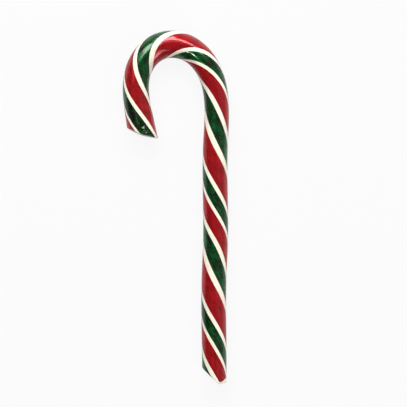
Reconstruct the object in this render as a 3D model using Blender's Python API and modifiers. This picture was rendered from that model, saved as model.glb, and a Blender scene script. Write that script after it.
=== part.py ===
"""A candy cane: one stick of boiled sugar with a hook at its top, lying on its side.

The stick's middle line starts at the foot and is drawn by how it leans along its length, so its
slight hand-made waver and its round hook come from one short list of marks. The ends are cut
aslant and their edges softened, and a narrow strip underneath is flat, where the warm stick lay.
The shaft runs along +Y from foot to hook, the hook turns towards -X, and +Z is up.
"""

import math

import bmesh
import bpy
import numpy as np

MM = 0.001

# The middle line, in millimetres from where the uncut stick begins, and its lean in degrees from +X.
STICK_LENGTH = 210.0
STICK_START = (16.64, -77.12)
LEAN_MARKS = (
    (0.0, 89.6),
    (30.0, 90.7),
    (55.0, 87.5),
    (75.0, 90.8),
    (95.0, 90.0),
    (110.0, 87.0),
    (125.0, 96.2),
    (140.0, 123.6),
    (155.0, 170.4),
    (170.0, 229.9),
    (185.0, 270.6),
    (210.0, 280.6),
)
LINE_STEP = 0.25

# Half the stick's width along its length: it swells a little in the shaft, the bend and at the mouth.
HALF_WIDTH_MARKS = (
    (0.0, 5.28),
    (20.0, 5.39),
    (40.0, 5.42),
    (60.0, 5.42),
    (85.0, 5.44),
    (105.0, 5.40),
    (120.0, 5.34),
    (133.0, 5.36),
    (145.0, 5.55),
    (158.0, 5.94),
    (172.0, 5.76),
    (186.0, 5.70),
    (210.0, 6.45),
)
UNDERSIDE_FLAT_DEPTH = 0.15

# How finely the solid follows the stick.
HOOK_BEGINS = 108.0
SHAFT_STEP = 6.0
HOOK_STEP = 1.75
SIDES = 28

# The slanting cuts, each drawn by two points in plan with the waste on its right-hand side.
FOOT_CUT = ((11.30, -69.25), (18.60, -76.25))
FOOT_CORNER_CUT = ((18.60, -76.25), (22.40, -75.50))
MOUTH_CUT = ((-14.90, 31.15), (-8.10, 29.75))
MOUTH_CORNER_CUT = ((-21.30, 34.20), (-14.90, 31.15))
CUTTER_REACH = 20.0
CUTTER_DEPTH = 12.0
SOFTENED_EDGE = 0.6
SOFTENED_EDGE_STEPS = 2
SOFTENED_ABOVE_DEG = 28.0
SMOOTH_BELOW_DEG = 28.0
CAP_WELD = 0.001
CUT_WELD = 0.3

CANDY_RED = (0.33, 0.010, 0.013, 1.0)
CANDY_ROUGHNESS = 0.15


def clear_scene():
    """Removes every object that the scene starts with."""
    for item in list(bpy.data.objects):
        bpy.data.objects.remove(item, do_unlink=True)


def new_collection(name):
    """Adds a collection to the scene."""
    collection = bpy.data.collections.new(name)
    bpy.context.scene.collection.children.link(collection)
    return collection


def smooth_through(marks, at):
    """Reads a smooth curve through (place, value) marks, by cubic steps with a shared slope at each mark."""
    places, values = np.transpose(marks)
    slopes = np.gradient(values, places)
    span = np.clip(np.searchsorted(places, at, side="right") - 1, 0, len(places) - 2)
    width = places[span + 1] - places[span]
    part = (at - places[span]) / width
    from_start = (1 + 2 * part) * (1 - part) ** 2 * values[span]
    from_start = from_start + part * (1 - part) ** 2 * width * slopes[span]
    from_end = part**2 * (3 - 2 * part) * values[span + 1]
    from_end = from_end + part**2 * (part - 1) * width * slopes[span + 1]
    return from_start + from_end


def middle_line(at):
    """Gives the plan position of the middle line at each distance, in millimetres."""
    fine = np.arange(0.0, STICK_LENGTH + LINE_STEP, LINE_STEP)
    lean = np.radians(smooth_through(LEAN_MARKS, fine))
    lean_between = (lean[1:] + lean[:-1]) / 2
    x = STICK_START[0] + np.concatenate([[0.0], np.cumsum(np.cos(lean_between)) * LINE_STEP])
    y = STICK_START[1] + np.concatenate([[0.0], np.cumsum(np.sin(lean_between)) * LINE_STEP])
    return np.interp(at, fine, x), np.interp(at, fine, y)


def stations():
    """Lists the distances of the solid's rings: wide steps in the shaft and short ones in the hook."""
    shaft = np.arange(0.0, HOOK_BEGINS, SHAFT_STEP)
    hook = np.arange(HOOK_BEGINS, STICK_LENGTH, HOOK_STEP)
    return np.concatenate([shaft, hook, [STICK_LENGTH]])


def plain_material(name, colour, roughness):
    """Makes a Principled material of one colour."""
    material = bpy.data.materials.new(name)
    material.use_nodes = True
    shader = material.node_tree.nodes["Principled BSDF"]
    shader.inputs["Base Color"].default_value = colour
    shader.inputs["Roughness"].default_value = roughness
    shader.inputs["Metallic"].default_value = 0.0
    return material


def stick_curve():
    """Draws the uncut stick as a bevelled curve whose rings touch the ground plane at each station."""
    at = stations()
    x, y = middle_line(at)
    half_width = smooth_through(HALF_WIDTH_MARKS, at)
    centre_height = half_width - UNDERSIDE_FLAT_DEPTH
    data = bpy.data.curves.new("stick_line", "CURVE")
    data.dimensions = "3D"
    data.twist_mode = "Z_UP"
    data.bevel_depth = MM
    data.bevel_resolution = (SIDES - 4) // 2
    data.use_fill_caps = True
    spline = data.splines.new("POLY")
    spline.points.add(len(at) - 1)
    for index, point in enumerate(spline.points):
        point.co = (x[index] * MM, y[index] * MM, centre_height[index] * MM, 1.0)
        point.radius = half_width[index]
    return bpy.data.objects.new("stick_line", data)


def curve_to_mesh(curve, name, collection):
    """Turns a curve object into a mesh object in the same place, with its caps welded on."""
    bpy.context.scene.collection.objects.link(curve)
    bpy.context.view_layer.update()
    evaluated = curve.evaluated_get(bpy.context.evaluated_depsgraph_get())
    mesh = bpy.data.meshes.new_from_object(evaluated)
    mesh.name = name
    solid = bmesh.new()
    solid.from_mesh(mesh)
    bmesh.ops.remove_doubles(solid, verts=solid.verts, dist=CAP_WELD * MM)
    bmesh.ops.recalc_face_normals(solid, faces=solid.faces)
    solid.to_mesh(mesh)
    solid.free()
    item = bpy.data.objects.new(name, mesh)
    item.matrix_world = curve.matrix_world.copy()
    collection.objects.link(item)
    bpy.data.objects.remove(curve)
    return item


def add_block(name, centre, size, turn, collection):
    """Adds a hidden block, in millimetres, turned about Z, for use as a cutter."""
    bpy.ops.mesh.primitive_cube_add(size=1.0)
    block = bpy.context.active_object
    block.name = name
    for holder in list(block.users_collection):
        holder.objects.unlink(block)
    collection.objects.link(block)
    for vertex in block.data.vertices:
        vertex.co = [place * length * MM for place, length in zip(vertex.co, size)]
    block.location = [place * MM for place in centre]
    block.rotation_euler = (0.0, 0.0, turn)
    block.hide_render = True
    block.display_type = "WIRE"
    return block


def slant_cutter(name, cut, collection):
    """Adds a block whose face lies on a cut line and whose body is on the line's right-hand side."""
    (start_x, start_y), (end_x, end_y) = cut
    turn = math.atan2(end_y - start_y, end_x - start_x)
    outwards = (math.sin(turn), -math.cos(turn))
    centre = (
        (start_x + end_x) / 2 + outwards[0] * CUTTER_DEPTH / 2,
        (start_y + end_y) / 2 + outwards[1] * CUTTER_DEPTH / 2,
        0.0,
    )
    size = (2 * CUTTER_REACH, CUTTER_DEPTH, 2 * CUTTER_REACH)
    return add_block(name, centre, size, turn, collection)


def underside_cutter(collection):
    """Adds a slab whose top face is the ground plane, which leaves the flat strip under the stick."""
    size = (2 * STICK_LENGTH, 2 * STICK_LENGTH, CUTTER_DEPTH)
    centre = (0.0, 0.0, -CUTTER_DEPTH / 2)
    return add_block("underside_cutter", centre, size, 0.0, collection)


def cut_away(item, cutter):
    """Takes a cutter's space out of a piece."""
    boolean = item.modifiers.new(cutter.name, "BOOLEAN")
    boolean.operation = "DIFFERENCE"
    boolean.solver = "EXACT"
    boolean.object = cutter


def soften_edges(item):
    """Rounds the edges that the slanting cuts leave, after their shortest slivers are welded shut."""
    weld = item.modifiers.new("cut_slivers", "WELD")
    weld.merge_threshold = CUT_WELD * MM
    bevel = item.modifiers.new("softened_edges", "BEVEL")
    bevel.width = SOFTENED_EDGE * MM
    bevel.segments = SOFTENED_EDGE_STEPS
    bevel.use_clamp_overlap = False
    bevel.limit_method = "ANGLE"
    bevel.angle_limit = math.radians(SOFTENED_ABOVE_DEG)


def build_cane():
    """Builds the one solid of the cane."""
    parts = new_collection("candy_cane")
    cutters = new_collection("cutters")
    cane = curve_to_mesh(stick_curve(), "cane", parts)
    cut_away(cane, underside_cutter(cutters))
    slants = {
        "foot_cutter": FOOT_CUT,
        "foot_corner_cutter": FOOT_CORNER_CUT,
        "mouth_cutter": MOUTH_CUT,
        "mouth_corner_cutter": MOUTH_CORNER_CUT,
    }
    for name, cut in slants.items():
        cut_away(cane, slant_cutter(name, cut, cutters))
    soften_edges(cane)
    cane.data.materials.append(plain_material("candy", CANDY_RED, CANDY_ROUGHNESS))
    cane.data.shade_smooth()
    cane.data.set_sharp_from_angle(angle=math.radians(SMOOTH_BELOW_DEG))
    return cane


clear_scene()
build_cane()
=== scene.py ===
"""The looks of a candy cane: one stick of boiled sugar in twisted strips, bent into a hook.

The stick is made the way a sweet maker makes it. A profile line is spun round the stick's axis, strip
by strip of coloured sugar, the straight stick is twisted and its ends are cut aslant, and then the
warm stick is bent along the cane's middle line and left to settle on the table.
"""

import logging
import math
from dataclasses import dataclass, field
from enum import Enum
from typing import Any, Callable, Optional, Sequence, Union

import bpy
import numpy as np
from mathutils import Matrix, Vector


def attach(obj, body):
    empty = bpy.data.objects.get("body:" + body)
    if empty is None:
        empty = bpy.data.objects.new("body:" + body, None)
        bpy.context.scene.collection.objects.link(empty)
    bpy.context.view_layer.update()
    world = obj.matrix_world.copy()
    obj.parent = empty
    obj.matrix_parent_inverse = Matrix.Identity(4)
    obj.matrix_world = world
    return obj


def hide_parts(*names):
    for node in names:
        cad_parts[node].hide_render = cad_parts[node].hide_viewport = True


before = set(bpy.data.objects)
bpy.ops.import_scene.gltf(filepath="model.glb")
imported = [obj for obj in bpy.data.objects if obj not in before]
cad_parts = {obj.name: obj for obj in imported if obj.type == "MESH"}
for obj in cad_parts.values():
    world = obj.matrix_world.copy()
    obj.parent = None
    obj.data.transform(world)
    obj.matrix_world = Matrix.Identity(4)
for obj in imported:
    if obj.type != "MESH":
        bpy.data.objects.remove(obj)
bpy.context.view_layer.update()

MM = 0.001
FULL_TURN = 360.0
LOG = logging.getLogger("candy_cane")

Marks = Sequence[tuple[float, float]]
Colour = tuple[float, float, float]
PlanPoint = tuple[float, float]


class Sugar(Enum):
    """The sugars that the stick is laid up from."""

    RED = "red_sugar"
    GREEN = "green_sugar"
    WHITE = "white_sugar"


class Layer(Enum):
    """The names of the layers that carry places on the stick to its finishes."""

    SKIN = "skin_mm"
    BORDER = "border_mm"
    RED_SIDE = "red_side"
    DEPTH = "depth_mm"
    DYE = "painted_mouth_shade"


@dataclass(frozen=True)
class Strip:
    """One strip of sugar along the stick, and how far round the stick it reaches."""

    sugar: Sugar
    width_deg: float


STRIPS = (
    Strip(Sugar.WHITE, 23.2),
    Strip(Sugar.GREEN, 65.4),
    Strip(Sugar.WHITE, 28.4),
    Strip(Sugar.RED, 87.2),
    Strip(Sugar.WHITE, 20.5),
    Strip(Sugar.GREEN, 51.1),
    Strip(Sugar.WHITE, 17.5),
    Strip(Sugar.RED, 66.7),
)


def smooth_through(marks: Marks, at: np.ndarray) -> np.ndarray:
    """Reads a smooth curve through marks, by cubic steps with a shared slope at each mark.

    Args:
        marks: pairs of a place and the value there, in rising order of place.
        at: the places to read.

    Returns:
        The value at each place.
    """
    places, values = np.transpose(marks)
    slopes = np.gradient(values, places)
    span = np.clip(np.searchsorted(places, at, side="right") - 1, 0, len(places) - 2)
    width = places[span + 1] - places[span]
    part = (at - places[span]) / width
    from_start = (1 + 2 * part) * (1 - part) ** 2 * values[span]
    from_start = from_start + part * (1 - part) ** 2 * width * slopes[span]
    from_end = part**2 * (3 - 2 * part) * values[span + 1]
    from_end = from_end + part**2 * (part - 1) * width * slopes[span + 1]
    return from_start + from_end


def signed_turn(turn_deg: np.ndarray) -> np.ndarray:
    """Brings turns to between a half turn back and a half turn on, in degrees."""
    return np.remainder(turn_deg + FULL_TURN / 2, FULL_TURN) - FULL_TURN / 2


def deselect_everything() -> None:
    """Leaves edit mode and clears the selection, so that an operator touches only new work."""
    if bpy.context.object is not None and bpy.context.object.mode != "OBJECT":
        bpy.ops.object.mode_set(mode="OBJECT")
    bpy.ops.object.select_all(action="DESELECT")


# --------------------------------------------------------------------------------------------------
# The middle line and the slanting cuts
# --------------------------------------------------------------------------------------------------


@dataclass(frozen=True)
class MiddleLine:
    """The line that the stick is bent along, in millimetres from where the uncut stick begins."""

    length: float = 210.0
    step: float = 0.25
    start: PlanPoint = (16.64, -77.12)
    lean_deg: Marks = (
        (0.0, 89.6),
        (30.0, 90.7),
        (55.0, 87.5),
        (75.0, 90.8),
        (95.0, 90.0),
        (110.0, 87.0),
        (125.0, 96.2),
        (140.0, 123.6),
        (155.0, 170.4),
        (170.0, 229.9),
        (185.0, 270.6),
        (210.0, 280.6),
    )
    half_width: Marks = (
        (0.0, 5.28),
        (20.0, 5.39),
        (40.0, 5.42),
        (60.0, 5.42),
        (85.0, 5.44),
        (105.0, 5.40),
        (120.0, 5.34),
        (133.0, 5.36),
        (145.0, 5.55),
        (158.0, 5.94),
        (172.0, 5.76),
        (186.0, 5.70),
        (210.0, 6.45),
    )
    underside_flat: float = 0.15
    skin_inset: float = 0.03
    curve_point_step: float = 0.5

    def lean(self, at: np.ndarray) -> np.ndarray:
        """Gives the lean of the line from +X at each distance, in radians."""
        return np.radians(smooth_through(self.lean_deg, at))

    def plan(self, at: np.ndarray) -> tuple[np.ndarray, np.ndarray]:
        """Gives the plan position of the line.

        Args:
            at: distances along the line.

        Returns:
            The X and the Y position at each distance.
        """
        fine = np.arange(0.0, self.length + self.step, self.step)
        lean = self.lean(fine)
        lean_between = (lean[1:] + lean[:-1]) / 2
        x = self.start[0] + np.concatenate([[0.0], np.cumsum(np.cos(lean_between)) * self.step])
        y = self.start[1] + np.concatenate([[0.0], np.cumsum(np.sin(lean_between)) * self.step])
        return np.interp(at, fine, x), np.interp(at, fine, y)

    def beside(self, at: np.ndarray, left: np.ndarray) -> tuple[np.ndarray, np.ndarray]:
        """Gives plan positions beside the line.

        Args:
            at: distances along the line.
            left: how far to the left of the line each position is.

        Returns:
            The X and the Y position of each.
        """
        x, y = self.plan(at)
        lean = self.lean(at)
        return x - np.sin(lean) * left, y + np.cos(lean) * left

    def draw(self, nominal_radius: float) -> bpy.types.Object:
        """Draws the line as a curve that a straight stick can be bent along.

        Args:
            nominal_radius: the straight stick's radius, which the curve's own radius scales.

        Returns:
            The curve object.
        """
        at = np.arange(0.0, self.length + self.curve_point_step / 2, self.curve_point_step)
        x, y = self.plan(at)
        half_width = smooth_through(self.half_width, at)
        data = bpy.data.curves.new("bending_line", "CURVE")
        data.dimensions = "3D"
        data.twist_mode = "Z_UP"
        spline = data.splines.new("POLY")
        spline.points.add(len(at) - 1)
        for index, point in enumerate(spline.points):
            height = half_width[index] - self.underside_flat
            point.co = (x[index] * MM, y[index] * MM, height * MM, 1.0)
            point.radius = (half_width[index] - self.skin_inset) / nominal_radius
        curve = bpy.data.objects.new("bending_line", data)
        bpy.context.scene.collection.objects.link(curve)
        return curve


@dataclass(frozen=True)
class SlantCut:
    """A slanting cut through the stick with one corner trimmed, in plan, with the waste on the right."""

    main: tuple[PlanPoint, PlanPoint]
    corner: tuple[PlanPoint, PlanPoint]
    near: tuple[float, float]
    corner_blend: float = 0.25
    reach: float = 7.0
    step: float = 0.1

    def kept_depth(self, x: np.ndarray, y: np.ndarray) -> np.ndarray:
        """Says how deep inside the kept stick each plan position is, less than nothing in the waste."""
        depths = []
        for (start_x, start_y), (end_x, end_y) in (self.main, self.corner):
            length = math.hypot(end_x - start_x, end_y - start_y)
            across = (end_x - start_x) * (y - start_y) - (end_y - start_y) * (x - start_x)
            depths.append(across / length)
        softened = [np.exp(-depth / self.corner_blend) for depth in depths]
        return -self.corner_blend * np.log(softened[0] + softened[1])

    def end_places(self, line: MiddleLine) -> tuple[np.ndarray, np.ndarray]:
        """Finds where the cut ends the stick.

        Args:
            line: the middle line of the stick.

        Returns:
            Places to the left of the line, and the distance along the line at which each one ends.
        """
        left = np.arange(-self.reach, self.reach + self.step, self.step)
        at = np.arange(self.near[0], self.near[1], self.step)
        at_grid, left_grid = np.meshgrid(at, left)
        depth = self.kept_depth(*line.beside(at_grid, left_grid))
        rising = depth[0, -1] > depth[0, 0]
        ordered = depth if rising else depth[:, ::-1]
        at_ordered = at if rising else at[::-1]
        ends = [np.interp(0.0, row, at_ordered) for row in ordered]
        return left, np.array(ends)


# --------------------------------------------------------------------------------------------------
# Shader nodes
# --------------------------------------------------------------------------------------------------

Number = Union[float, "Value"]

# A Mix node has sockets for numbers, vectors and colours; these are the ones for colours.
MIX_START = 6
MIX_END = 7
MIX_RESULT = 2


class Value:
    """A number socket that takes part in arithmetic: each operation adds its Math node."""

    def __init__(self, graph: "Graph", socket: bpy.types.NodeSocket) -> None:
        """Wraps a socket of a node in a graph."""
        self.graph = graph
        self.socket = socket

    def _math(self, operation: str, *terms: Number) -> "Value":
        """Adds a Math node and gives its result."""
        settings = {"operation": operation}
        return self.graph.node("ShaderNodeMath", settings, dict(enumerate(terms))).value()

    def __add__(self, other: Number) -> "Value":
        """Adds a number."""
        return self._math("ADD", self, other)

    def __radd__(self, other: float) -> "Value":
        """Adds to a number."""
        return self._math("ADD", other, self)

    def __sub__(self, other: Number) -> "Value":
        """Takes a number away."""
        return self._math("SUBTRACT", self, other)

    def __rsub__(self, other: float) -> "Value":
        """Takes away from a number."""
        return self._math("SUBTRACT", other, self)

    def __mul__(self, other: Number) -> "Value":
        """Multiplies by a number."""
        return self._math("MULTIPLY", self, other)

    def __rmul__(self, other: float) -> "Value":
        """Multiplies a number."""
        return self._math("MULTIPLY", other, self)

    def fade(self, full_at: float, gone_at: float) -> "Value":
        """Gives 1 up to one value, 0 from another, and a smooth change between them."""
        settings = {"interpolation_type": "SMOOTHSTEP", "clamp": True}
        terms = {"Value": self, "From Min": full_at, "From Max": gone_at, "To Min": 1.0, "To Max": 0.0}
        return self.graph.node("ShaderNodeMapRange", settings, terms).value("Result")


class Made:
    """A node that has been added, and its outputs."""

    def __init__(self, graph: "Graph", node: bpy.types.Node) -> None:
        """Wraps a node in a graph."""
        self.graph = graph
        self.node = node

    def value(self, output: Union[int, str] = 0) -> Value:
        """Gives an output as a number for arithmetic."""
        return Value(self.graph, self.node.outputs[output])

    def socket(self, output: Union[int, str] = 0) -> bpy.types.NodeSocket:
        """Gives an output as a plain socket, for colours, vectors and shaders."""
        return self.node.outputs[output]


class Graph:
    """The node tree of one material or world."""

    def __init__(self, tree: bpy.types.NodeTree) -> None:
        """Starts with an empty tree."""
        self.tree = tree
        self.tree.nodes.clear()

    def node(self, kind: str, settings: Optional[dict] = None, inputs: Optional[dict] = None) -> Made:
        """Adds a node.

        Args:
            kind: the node's type.
            settings: its properties, which are set first.
            inputs: a value or a link for each of its input sockets, by name or number.

        Returns:
            The new node.
        """
        node = self.tree.nodes.new(kind)
        for name, setting in (settings or {}).items():
            setattr(node, name, setting)
        for name, given in (inputs or {}).items():
            self._feed(node.inputs[name], given)
        return Made(self, node)

    def _feed(self, entry: bpy.types.NodeSocket, given: Any) -> None:
        """Links a socket or sets its value."""
        if isinstance(given, Value):
            self.tree.links.new(given.socket, entry)
        elif isinstance(given, bpy.types.NodeSocket):
            self.tree.links.new(given, entry)
        elif entry.type == "RGBA" and len(given) == 3:
            entry.default_value = (*given, 1.0)
        else:
            entry.default_value = given

    def mix(self, part: Number, start: Any, end: Any) -> bpy.types.NodeSocket:
        """Mixes two colours, from the start colour at 0 to the end colour at 1."""
        settings = {"data_type": "RGBA", "clamp_factor": True}
        made = self.node("ShaderNodeMix", settings, {"Factor": part})
        self._feed(made.node.inputs[MIX_START], start)
        self._feed(made.node.inputs[MIX_END], end)
        return made.socket(MIX_RESULT)

    def layer(self, layer: Layer) -> Value:
        """Reads the number that a layer of the mesh holds at each place."""
        return self.node("ShaderNodeAttribute", {"attribute_name": layer.value}).value("Fac")

    def stretched(self, place: bpy.types.NodeSocket, across: float, along: float) -> bpy.types.NodeSocket:
        """Scales a place on the skin each way, so that a pattern read there is drawn out."""
        return self.node("ShaderNodeMapping", {}, {"Vector": place, "Scale": (across, along, 1.0)}).socket()


# --------------------------------------------------------------------------------------------------
# Finishes
# --------------------------------------------------------------------------------------------------


@dataclass(frozen=True)
class Pattern:
    """An uneven pattern over the skin: how often it changes each way, and how fine and rough it is."""

    across_per_mm: float
    along_per_mm: float
    detail: float
    roughness: float
    share: float

    def draw(self, graph: Graph, skin: bpy.types.NodeSocket) -> Value:
        """Adds the pattern to a graph and gives it as a number from 0 to 1."""
        place = graph.stretched(skin, self.across_per_mm, self.along_per_mm)
        inputs = {"Vector": place, "Scale": 1.0, "Detail": self.detail, "Roughness": self.roughness}
        return graph.node("ShaderNodeTexNoise", {}, inputs).value()


@dataclass(frozen=True)
class BoiledSugar:
    """Hard glossy sugar, drawn into fine streaks along its strip, darker where two sugars meet."""

    sugar: Sugar
    deep: Colour
    bright: Colour
    border_by_red: Colour
    border_by_green: Colour
    core: Colour
    border_width_mm: float
    lustre: float
    subsurface: float
    subsurface_radius_mm: Colour
    roughness: float = 0.32
    coat_roughness: float = 0.08
    refraction: float = 1.5
    gloss_level: float = 0.0
    dulled: float = 0.04
    worn_gloss: float = 0.1
    streaks: Pattern = Pattern(1.4, 0.14, 3.0, 0.55, 0.35)
    clouds: Pattern = Pattern(0.22, 0.22, 2.0, 0.5, 0.30)
    crystals: Pattern = Pattern(2.4, 0.9, 2.0, 0.6, 0.35)
    painted_shade_weight: float = 0.0
    bright_below: float = 0.42
    deep_above: float = 0.58
    ripple_height_mm: float = 0.006
    colour_ends_mm: float = 1.1
    core_begins_mm: float = 1.54

    def make(self) -> bpy.types.Material:
        """Makes the material.

        Returns:
            The new material.
        """
        material = bpy.data.materials.new(self.sugar.value)
        material.use_nodes = True
        graph = Graph(material.node_tree)
        skin = graph.node("ShaderNodeUVMap", {"uv_map": Layer.SKIN.value}).socket()
        streaks = self.streaks.draw(graph, skin)
        clouds = self.clouds.draw(graph, skin)
        crystals = self.crystals.draw(graph, skin)
        uneven = streaks * self.streaks.share + clouds * self.clouds.share + crystals * self.crystals.share
        # Painted shade: near the mouth the colour is pushed towards its deep tone; only the green takes it.
        shade = (uneven + graph.layer(Layer.DYE) * self.painted_shade_weight).fade(self.deep_above, self.bright_below)
        body = graph.mix(shade, self.bright, self.deep)
        border_tint = graph.mix(graph.layer(Layer.RED_SIDE), self.border_by_green, self.border_by_red)
        at_border = graph.layer(Layer.BORDER).fade(0.0, self.border_width_mm)
        edged = graph.mix(at_border, body, border_tint)
        in_skin = graph.layer(Layer.DEPTH).fade(self.colour_ends_mm, self.core_begins_mm)
        coloured = graph.mix(in_skin, self.core, edged)
        ripple = graph.node(
            "ShaderNodeBump",
            {},
            {"Height": streaks * self.ripple_height_mm * MM, "Distance": 1.0, "Strength": 1.0},
        ).socket()
        shader = graph.node(
            "ShaderNodeBsdfPrincipled",
            {"subsurface_method": "RANDOM_WALK"},
            {
                "Base Color": coloured,
                "Roughness": self.dulled * clouds + (self.roughness - self.dulled / 2),
                "IOR": self.refraction,
                "Specular IOR Level": self.gloss_level,
                "Metallic": self.lustre,
                "Subsurface Weight": self.subsurface,
                "Subsurface Radius": self.subsurface_radius_mm,
                "Subsurface Scale": MM,
                "Coat Weight": 1.0 - self.worn_gloss * clouds,
                "Coat Roughness": self.coat_roughness,
                "Coat IOR": self.refraction,
                "Normal": ripple,
            },
        )
        graph.node("ShaderNodeOutputMaterial", {}, {"Surface": shader.socket()})
        return material


FINISHES = (
    BoiledSugar(
        Sugar.RED,
        deep=(0.235, 0.005, 0.007),
        bright=(0.395, 0.008, 0.012),
        border_by_red=(0.13, 0.006, 0.008),
        border_by_green=(0.13, 0.006, 0.008),
        core=(0.86, 0.80, 0.72),
        border_width_mm=0.5,
        lustre=0.35,
        subsurface=0.7,
        subsurface_radius_mm=(2.0, 0.6, 0.6),
    ),
    BoiledSugar(
        Sugar.GREEN,
        deep=(0.009, 0.018, 0.005),
        bright=(0.005, 0.115, 0.025),
        border_by_red=(0.010, 0.020, 0.008),
        border_by_green=(0.010, 0.020, 0.008),
        core=(0.84, 0.82, 0.72),
        border_width_mm=0.4,
        lustre=0.75,
        subsurface=0.7,
        subsurface_radius_mm=(0.5, 1.5, 0.7),
        # Painted shade: the green is painted darker towards the mouth.
        painted_shade_weight=0.12,
    ),
    BoiledSugar(
        Sugar.WHITE,
        deep=(0.76, 0.68, 0.58),
        bright=(0.83, 0.77, 0.66),
        border_by_red=(0.88, 0.60, 0.52),
        border_by_green=(0.70, 0.80, 0.62),
        core=(0.86, 0.82, 0.74),
        border_width_mm=0.3,
        lustre=0.0,
        subsurface=0.8,
        subsurface_radius_mm=(3.5, 3.0, 2.5),
    ),
)


# --------------------------------------------------------------------------------------------------
# The cane
# --------------------------------------------------------------------------------------------------


@dataclass
class CandyCane:
    """The one stick of sugar: straight and spun, then twisted, cut, bent and settled."""

    line: MiddleLine = field(default_factory=MiddleLine)
    radius: float = 5.3
    row_step: float = 0.35
    rim_radius: float = 0.6
    rim_steps: int = 5
    face_steps: int = 6
    column_deg: float = 2.6
    # The turn of the strips along the stick, from straight up towards the left.
    twist_deg: Marks = (
        (0.0, -36.6),
        (20.0, 93.5),
        (40.0, 220.0),
        (50.0, 280.1),
        (60.0, 335.3),
        (75.0, 434.7),
        (90.0, 529.4),
        (110.0, 652.4),
        (130.0, 756.7),
        (145.0, 839.3),
        (160.0, 939.9),
        (180.0, 1076.1),
        (206.0, 1214.0),
        (211.0, 1242.0),
    )
    border_groove_depth: float = 0.05
    border_groove_width: float = 0.35
    foot_cut: SlantCut = SlantCut(
        main=((11.30, -69.25), (18.60, -76.25)),
        corner=((18.60, -76.25), (22.40, -75.50)),
        near=(-4.0, 24.0),
    )
    mouth_cut: SlantCut = SlantCut(
        main=((-14.90, 31.15), (-8.10, 29.75)),
        corner=((-21.30, 34.20), (-14.90, 31.15)),
        near=(186.0, 214.0),
    )
    cut_zone: float = 22.0
    blister_at: float = 203.0
    blister_turn_deg: float = 13.0
    blister_height: float = 0.50
    blister_size: float = 0.80
    blister_steepness: float = 3.0
    blister_sink: float = 0.27
    blister_sink_size: float = 1.7
    # Painted shade: how much darker the sugar is painted along the stick, deepest towards the mouth.
    painted_mouth_shade: Marks = (
        (0.0, 0.0),
        (150.0, 0.0),
        (165.0, 0.0),
        (175.0, 0.05),
        (184.0, 0.2),
        (193.0, 0.45),
        (212.0, 0.45),
    )
    # One border creeps round the stick near the mouth, which narrows the white strip there.
    creep_border_deg: float = 204.2
    creep_spread_deg: float = 20.0
    creep_deg: Marks = (
        (0.0, 0.0),
        (170.0, 0.0),
        (184.0, 0.0),
        (198.0, 8.0),
        (212.0, 8.0),
    )
    # How far from the foot's cut the skin is worn through, by the turn round the stick.
    worn_reach: Marks = (
        (-180.0, 0.0),
        (-120.0, 1.6),
        (-80.0, 2.3),
        (-69.0, 2.1),
        (-50.0, 1.3),
        (-36.0, 0.9),
        (-18.0, 0.8),
        (-5.0, 0.5),
        (5.0, 0.0),
        (180.0, 0.0),
    )
    skin_depth: float = 1.32
    worn_slope: float = 1.2
    passes: int = 25
    weld: float = 0.0005

    def build(self) -> bpy.types.Object:
        """Builds and dresses the cane.

        Returns:
            The finished piece.
        """
        piece = self.lay_profile()
        self.spin_strips(piece)
        self.mark_layers(piece)
        self.twist_and_cut(piece)
        self.bend(piece)
        self.settle(piece)
        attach(piece, "root")
        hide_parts("cane")
        return piece

    def lay_profile(self) -> bpy.types.Object:
        """Lays the stick's profile: a line on its skin, round rims, and end faces in to the axis.

        Returns:
            The piece, with the profile as its only edges.
        """
        deselect_everything()
        straight = self.line.length - 2 * self.rim_radius
        rows = round(straight / self.row_step)
        bpy.ops.mesh.primitive_grid_add(x_subdivisions=rows, y_subdivisions=1, size=2.0)
        piece = bpy.context.active_object
        piece.name = piece.data.name = "candy_cane"
        bpy.ops.object.mode_set(mode="EDIT")
        bpy.ops.transform.resize(value=(straight / 2 * MM, self.radius * MM, 1.0))
        self.select_where(piece, lambda place: place[:, 1] < 0)
        bpy.ops.mesh.delete(type="VERT")
        bpy.ops.mesh.select_all(action="SELECT")
        lift = (self.line.length / 2 * MM, -self.radius * MM, self.radius * MM)
        bpy.ops.transform.translate(value=lift)
        self.round_end(piece, self.rim_radius, -1.0)
        self.round_end(piece, self.line.length - self.rim_radius, 1.0)
        bpy.ops.object.mode_set(mode="OBJECT")
        return piece

    def round_end(self, piece: bpy.types.Object, at: float, outwards: float) -> None:
        """Spins a round rim from one end of the profile and draws the end face in to the axis.

        Args:
            piece: the piece, in edit mode.
            at: where the rim begins, in millimetres along the stick.
            outwards: 1 for the far end and -1 for the near one.
        """
        tip = at * MM
        near = self.row_step * MM / 4
        self.select_where(piece, lambda place: np.abs(place[:, 0] - tip) < near)
        bpy.ops.mesh.spin(
            steps=self.rim_steps,
            angle=-outwards * math.pi / 2,
            center=(tip, 0.0, (self.radius - self.rim_radius) * MM),
            axis=(0.0, 1.0, 0.0),
        )
        inwards = -(self.radius - self.rim_radius) / self.face_steps
        for _ in range(self.face_steps):
            bpy.ops.mesh.extrude_region_move(TRANSFORM_OT_translate={"value": (0.0, 0.0, inwards * MM)})

    def select_where(self, piece: bpy.types.Object, chosen: Callable[[np.ndarray], np.ndarray]) -> None:
        """Selects the vertices at chosen places of a piece that is in edit mode.

        Args:
            piece: the piece.
            chosen: a function that takes the vertices' places and says which are chosen.
        """
        bpy.ops.mesh.select_all(action="DESELECT")
        bpy.ops.mesh.select_mode(type="VERT")
        bpy.ops.object.mode_set(mode="OBJECT")
        place = read_places(piece)
        piece.data.vertices.foreach_set("select", chosen(place))
        bpy.ops.object.mode_set(mode="EDIT")

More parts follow.
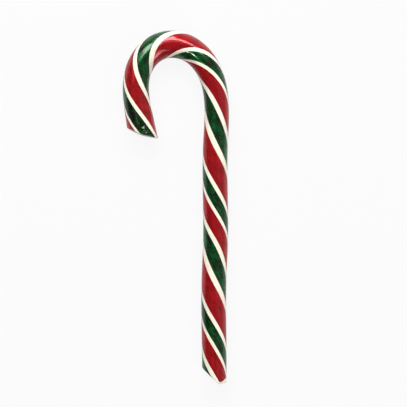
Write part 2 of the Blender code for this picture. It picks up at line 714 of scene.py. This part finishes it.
    def spin_strips(self, piece: bpy.types.Object) -> None:
        """Spins the profile round the axis strip by strip, each strip with its own sugar.

        Args:
            piece: the piece, which becomes a closed straight stick.
        """
        slots = [finish.sugar for finish in FINISHES]
        for finish in FINISHES:
            piece.data.materials.append(finish.make())
        sugar_of_face = []
        bpy.ops.object.mode_set(mode="EDIT")
        bpy.ops.mesh.select_all(action="SELECT")
        for strip in STRIPS:
            columns = math.ceil(strip.width_deg / self.column_deg)
            bpy.ops.mesh.spin(
                steps=columns,
                angle=math.radians(strip.width_deg),
                center=(0.0, 0.0, 0.0),
                axis=(1.0, 0.0, 0.0),
            )
            piece.update_from_editmode()
            new_faces = len(piece.data.polygons) - len(sugar_of_face)
            sugar_of_face += [slots.index(strip.sugar)] * new_faces
        bpy.ops.object.mode_set(mode="OBJECT")
        piece.data.polygons.foreach_set("material_index", sugar_of_face)
        bpy.ops.object.mode_set(mode="EDIT")
        bpy.ops.mesh.select_all(action="SELECT")
        bpy.ops.mesh.remove_doubles(threshold=self.weld * MM)
        bpy.ops.mesh.normals_make_consistent(inside=False)
        bpy.ops.object.mode_set(mode="OBJECT")
        bpy.ops.object.shade_smooth()

    def mark_layers(self, piece: bpy.types.Object) -> None:
        """Writes the layers that the finishes read: the skin unrolled, borders, depth and the painted shade
        towards the mouth.

        Args:
            piece: the straight untwisted stick.
        """
        place = read_places(piece) / MM
        around = np.degrees(np.arctan2(place[:, 1], place[:, 2])) % FULL_TURN
        out = np.hypot(place[:, 1], place[:, 2])
        borders = np.cumsum([0.0] + [strip.width_deg for strip in STRIPS])
        apart = np.abs(around[:, None] - borders[None, :])
        write_numbers(piece, Layer.BORDER, np.radians(apart.min(axis=1)) * out)
        sugars = [STRIPS[-1].sugar] + [strip.sugar for strip in STRIPS] + [STRIPS[0].sugar]
        beside_red = np.array([float(Sugar.RED in pair) for pair in zip(sugars[:-1], sugars[1:])])
        write_numbers(piece, Layer.RED_SIDE, beside_red[apart.argmin(axis=1)])
        end_distance = np.minimum(place[:, 0], self.line.length - place[:, 0])
        on_face = end_distance < self.rim_radius / 2
        write_numbers(piece, Layer.DEPTH, np.where(on_face, self.radius - out, 0.0))
        # Painted shade along the stick, darkening the sugar towards the mouth.
        write_numbers(piece, Layer.DYE, smooth_through(self.painted_mouth_shade, place[:, 0]))

        mesh = piece.data
        corner_vertex = np.empty(len(mesh.loops), dtype=np.int32)
        mesh.loops.foreach_get("vertex_index", corner_vertex)
        corners_per_face = np.empty(len(mesh.polygons), dtype=np.int32)
        mesh.polygons.foreach_get("loop_total", corners_per_face)
        centre = np.empty(3 * len(mesh.polygons))
        mesh.polygons.foreach_get("center", centre)
        centre = centre.reshape(-1, 3)
        face_around = np.repeat(np.degrees(np.arctan2(centre[:, 1], centre[:, 2])), corners_per_face)
        turn = signed_turn(around[corner_vertex] - face_around)
        corner_around = face_around + turn
        inside = self.radius - out
        along = np.where(place[:, 0] < self.line.length / 2, place[:, 0] - inside, place[:, 0] + inside)
        unrolled = np.stack([np.radians(corner_around) * self.radius, along[corner_vertex]], axis=1)
        layer = mesh.uv_layers.new(name=Layer.SKIN.value)
        layer.uv.foreach_set("vector", unrolled.ravel())

    def twist_and_cut(self, piece: bpy.types.Object) -> None:
        """Twists the straight stick, cuts its ends aslant and presses a groove along each border.

        Args:
            piece: the straight untwisted stick.
        """
        place = read_places(piece) / MM
        along = place[:, 0]
        out = np.hypot(place[:, 1], place[:, 2])
        laid = np.degrees(np.arctan2(place[:, 1], place[:, 2]))
        border = read_numbers(piece, Layer.BORDER)
        depth = read_numbers(piece, Layer.DEPTH)
        groove = self.border_groove_depth * np.exp(-((border / self.border_groove_width) ** 2))
        out = out - np.where(depth > 0, 0.0, groove)
        foot_left, foot_ends = self.foot_cut.end_places(self.line)
        mouth_left, mouth_ends = self.mouth_cut.end_places(self.line)
        to_foot = np.clip((self.cut_zone - along) / (self.cut_zone - self.rim_radius), 0.0, 1.0)
        from_mouth = self.line.length - along
        to_mouth = np.clip((self.cut_zone - from_mouth) / (self.cut_zone - self.rim_radius), 0.0, 1.0)
        cut_along = along
        for _ in range(self.passes):
            turned = self.surface_angle(cut_along, laid)
            widened = smooth_through(self.line.half_width, np.clip(cut_along, 0, self.line.length))
            left = out * np.sin(turned) * widened / self.radius
            foot_end = np.interp(left, foot_left, foot_ends)
            mouth_end = np.interp(left, mouth_left, mouth_ends)
            cut_along = along + to_foot * foot_end + to_mouth * (mouth_end - self.line.length)
        turned = self.surface_angle(cut_along, laid)
        turn_deg = signed_turn(np.degrees(turned))
        around_blister = np.radians(signed_turn(turn_deg - self.blister_turn_deg))
        from_blister = np.hypot(cut_along - self.blister_at, around_blister * out)
        swelling = np.exp(-((from_blister / self.blister_size) ** self.blister_steepness))
        sinking = np.exp(-((from_blister / self.blister_sink_size) ** 2))
        out = out + self.blister_height * swelling - self.blister_sink * sinking
        self.wear_foot(piece, along, turn_deg)
        twisted = np.stack([cut_along, out * np.sin(turned), out * np.cos(turned)], axis=1)
        write_places(piece, twisted * MM)

    def wear_foot(self, piece: bpy.types.Object, from_cut: np.ndarray, turn_deg: np.ndarray) -> None:
        """Wears the coloured skin through at the foot's tip, so that the pale core shows there.

        Args:
            piece: the stick.
            from_cut: how far each vertex is from the foot's cut.
            turn_deg: where round the stick each vertex is, from straight up towards the left.
        """
        worn = smooth_through(self.worn_reach, turn_deg) - from_cut
        worn_depth = self.skin_depth + worn * self.worn_slope
        write_numbers(piece, Layer.DEPTH, np.maximum(read_numbers(piece, Layer.DEPTH), worn_depth))

    def surface_angle(self, along: np.ndarray, laid_deg: np.ndarray) -> np.ndarray:
        """Gives where round the twisted stick a place comes to lie.

        Args:
            along: distances along the stick.
            laid_deg: where round the untwisted stick the places were laid.

        Returns:
            The angle from straight up towards the left, in radians.
        """
        from_border = signed_turn(laid_deg - self.creep_border_deg)
        held = np.clip(1.0 - np.abs(from_border) / self.creep_spread_deg, 0.0, 1.0)
        creep = smooth_through(self.creep_deg, along) * held
        return np.radians(smooth_through(self.twist_deg, along) + laid_deg + creep)

    def bend(self, piece: bpy.types.Object) -> None:
        """Bends the stick along the middle line.

        Args:
            piece: the straight twisted stick.
        """
        curve = self.line.draw(self.radius)
        deselect_everything()
        bpy.context.view_layer.objects.active = piece
        piece.select_set(True)
        bending = piece.modifiers.new("bending", "CURVE")
        bending.object = curve
        bending.deform_axis = "POS_X"
        bpy.ops.object.modifier_apply(modifier=bending.name)
        bpy.data.objects.remove(curve)

    def settle(self, piece: bpy.types.Object) -> None:
        """Presses the narrow flat strip that the warm stick rests on, and places the piece.

        Args:
            piece: the bent stick.
        """
        place = read_places(piece)
        place[:, 2] = np.maximum(place[:, 2], 0.0)
        write_places(piece, place)
        deselect_everything()
        piece.select_set(True)
        bpy.context.view_layer.objects.active = piece
        bpy.ops.object.transform_apply(location=True, rotation=True, scale=True)


def read_places(piece: bpy.types.Object) -> np.ndarray:
    """Reads where a mesh's vertices are, as rows of X, Y and Z in metres."""
    flat = np.empty(3 * len(piece.data.vertices))
    piece.data.vertices.foreach_get("co", flat)
    return flat.reshape(-1, 3)


def write_places(piece: bpy.types.Object, place: np.ndarray) -> None:
    """Moves a mesh's vertices to the places given in metres."""
    piece.data.vertices.foreach_set("co", place.ravel())
    piece.data.update()


def write_numbers(piece: bpy.types.Object, layer: Layer, numbers: np.ndarray) -> None:
    """Writes one number for each vertex into a named layer, which is added when it is new."""
    attribute = piece.data.attributes.get(layer.value)
    if attribute is None:
        attribute = piece.data.attributes.new(layer.value, "FLOAT", "POINT")
    attribute.data.foreach_set("value", numbers)


def read_numbers(piece: bpy.types.Object, layer: Layer) -> np.ndarray:
    """Reads one number for each vertex from a named layer."""
    numbers = np.empty(len(piece.data.vertices))
    piece.data.attributes[layer.value].data.foreach_get("value", numbers)
    return numbers


# --------------------------------------------------------------------------------------------------
# The studio
# --------------------------------------------------------------------------------------------------


@dataclass(frozen=True)
class Direction:
    """A direction from the cane: its azimuth from +X and its elevation above the table, in degrees."""

    azimuth: float
    elevation: float

    def vector(self) -> Vector:
        """Gives the direction as a unit vector."""
        azimuth = math.radians(self.azimuth)
        elevation = math.radians(self.elevation)
        flat = math.cos(elevation)
        return Vector((math.cos(azimuth) * flat, math.sin(azimuth) * flat, math.sin(elevation)))


@dataclass(frozen=True)
class SoftLight:
    """A soft rectangular light that reaches from one direction to another, as the cane sees it."""

    name: str
    start: Direction
    end: Direction
    height: float
    radiance: float
    mirrored: bool = True
    distance: float = 1.0

    def place(self, target: Vector) -> None:
        """Adds the light, facing a target.

        Args:
            target: the place that it faces.
        """
        start = self.start.vector() * self.distance
        end = self.end.vector() * self.distance
        middle = (start + end) / 2
        along = (end - start).normalized()
        backwards = middle.normalized()
        across = backwards.cross(along)
        data = bpy.data.lights.new(self.name, "AREA")
        data.shape = "RECTANGLE"
        data.size = (end - start).length
        data.size_y = self.height
        data.energy = self.radiance * math.pi * data.size * data.size_y
        light = bpy.data.objects.new(self.name, data)
        light.location = target + middle
        light.rotation_euler = Matrix((along, across, backwards)).transposed().to_euler()
        light.visible_glossy = self.mirrored
        bpy.context.scene.collection.objects.link(light)


@dataclass
class Studio:
    """A pale table under soft lights, seen from straight above."""

    target: Vector = field(default_factory=lambda: Vector((0.01201, 0.00167, 0.0051)))
    lens_mm: float = 500.0
    sensor_mm: float = 36.0
    camera_distance: float = 2.44
    floor_size: float = 6.0
    floor_seen: Colour = (0.05, 0.05, 0.05)
    floor_glow_seen: Colour = (0.898, 0.898, 0.898)
    floor_cast: Colour = (0.42, 0.42, 0.42)
    floor_glow_cast: Colour = (0.22, 0.22, 0.22)
    floor_grain_per_m: float = 3.0
    floor_grain_detail: float = 2.0
    floor_grain_dimming: float = 0.985
    floor_roughness: float = 0.9
    floor_gloss: float = 0.1
    room_overhead: float = 0.08
    room_walls: float = 0.15
    room_walls_fade: tuple[float, float] = (0.0, 0.35)
    room_right: float = 0.22
    room_right_fade: tuple[float, float] = (0.1, 0.6)
    room_far: float = 0.30
    room_far_fade: tuple[float, float] = (0.3, 0.9)
    room_far_top_fade: tuple[float, float] = (0.0, 0.5)
    lights: tuple[SoftLight, ...] = (
        SoftLight("right_window", Direction(45.0, 47.0), Direction(79.0, 40.5), 0.21, 7.5),
        SoftLight("wide_window", Direction(82.0, 33.5), Direction(111.0, 33.5), 0.56, 9.0),
        SoftLight("left_window", Direction(129.6, 31.0), Direction(127.7, 65.0), 0.25, 7.5),
        SoftLight("far_glow", Direction(72.0, 38.0), Direction(155.0, 46.0), 0.66, 0.95),
        SoftLight("near_lamp_dim", Direction(-79.7, 50.8), Direction(-63.0, 44.0), 0.36, 2.6),
        SoftLight("near_lamp", Direction(-63.0, 42.0), Direction(-47.0, 21.0), 0.32, 5.2),
        SoftLight("small_lamp", Direction(-123.0, 70.2), Direction(-114.5, 66.2), 0.07, 50.0),
        SoftLight("right_fill", Direction(-25.0, 35.0), Direction(40.0, 35.0), 0.60, 0.5, mirrored=False),
    )

    def build(self) -> None:
        """Builds the table, the lights and the camera."""
        self.lay_floor()
        self.paint_world()
        for light in self.lights:
            light.place(self.target)
        self.place_camera()
        bpy.context.scene.view_settings.view_transform = "Standard"

    def lay_floor(self) -> None:
        """Lays the pale table top just under the cane."""
        deselect_everything()
        bpy.ops.mesh.primitive_plane_add(size=self.floor_size)
        floor = bpy.context.active_object
        floor.name = floor.data.name = "table_top"
        material = bpy.data.materials.new("pale_table")
        material.use_nodes = True
        graph = Graph(material.node_tree)
        place = graph.node("ShaderNodeTexCoord").socket("Object")
        grain = graph.node(
            "ShaderNodeTexNoise",
            {},
            {"Vector": place, "Scale": self.floor_grain_per_m, "Detail": self.floor_grain_detail},
        ).value()
        dimmer = tuple(self.floor_grain_dimming * part for part in self.floor_seen)
        seen = graph.node("ShaderNodeLightPath").value("Is Camera Ray")
        seen_colour = graph.mix(grain, self.floor_seen, dimmer)
        shader = graph.node(
            "ShaderNodeBsdfPrincipled",
            {},
            {
                "Base Color": graph.mix(seen, self.floor_cast, seen_colour),
                "Roughness": self.floor_roughness,
                "Specular IOR Level": self.floor_gloss,
                "Emission Color": graph.mix(seen, self.floor_glow_cast, self.floor_glow_seen),
                "Emission Strength": 1.0,
            },
        )
        graph.node("ShaderNodeOutputMaterial", {}, {"Surface": shader.socket()})
        floor.data.materials.append(material)

    def paint_world(self) -> None:
        """Paints the room: dim overhead and lighter towards the walls."""
        world = bpy.data.worlds.new("room")
        bpy.context.scene.world = world
        world.use_nodes = True
        graph = Graph(world.node_tree)
        direction = graph.node("ShaderNodeTexCoord").socket("Generated")
        parts = graph.node("ShaderNodeSeparateXYZ", {}, {"Vector": direction})
        walls = parts.value("Z").fade(*self.room_walls_fade) * self.room_walls
        right = (1.0 - parts.value("X").fade(*self.room_right_fade)) * self.room_right
        far_wall = 1.0 - parts.value("Y").fade(*self.room_far_fade)
        far = far_wall * parts.value("Z").fade(*self.room_far_top_fade) * self.room_far
        shade = walls + right + far + self.room_overhead
        room = graph.node("ShaderNodeBackground", {}, {"Color": (1.0, 1.0, 1.0), "Strength": shade})
        graph.node("ShaderNodeOutputWorld", {}, {"Surface": room.socket()})

    def place_camera(self) -> None:
        """Adds the camera, looking straight down with the cane's hook at the top."""
        data = bpy.data.cameras.new("overhead_camera")
        data.lens = self.lens_mm
        data.sensor_width = self.sensor_mm
        camera = bpy.data.objects.new("overhead_camera", data)
        camera.location = self.target + Vector((0.0, 0.0, self.camera_distance))
        bpy.context.scene.collection.objects.link(camera)
        bpy.context.scene.camera = camera


def main() -> None:
    """Builds the cane and the studio."""
    logging.basicConfig(level=logging.INFO, format="%(message)s")
    cane = CandyCane().build()
    LOG.info("%s: %d faces, replaces the node cane", cane.name, len(cane.data.polygons))
    Studio().build()
    LOG.info("studio: table top, lights and camera")
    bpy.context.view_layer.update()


if __name__ == "__main__":
    main()
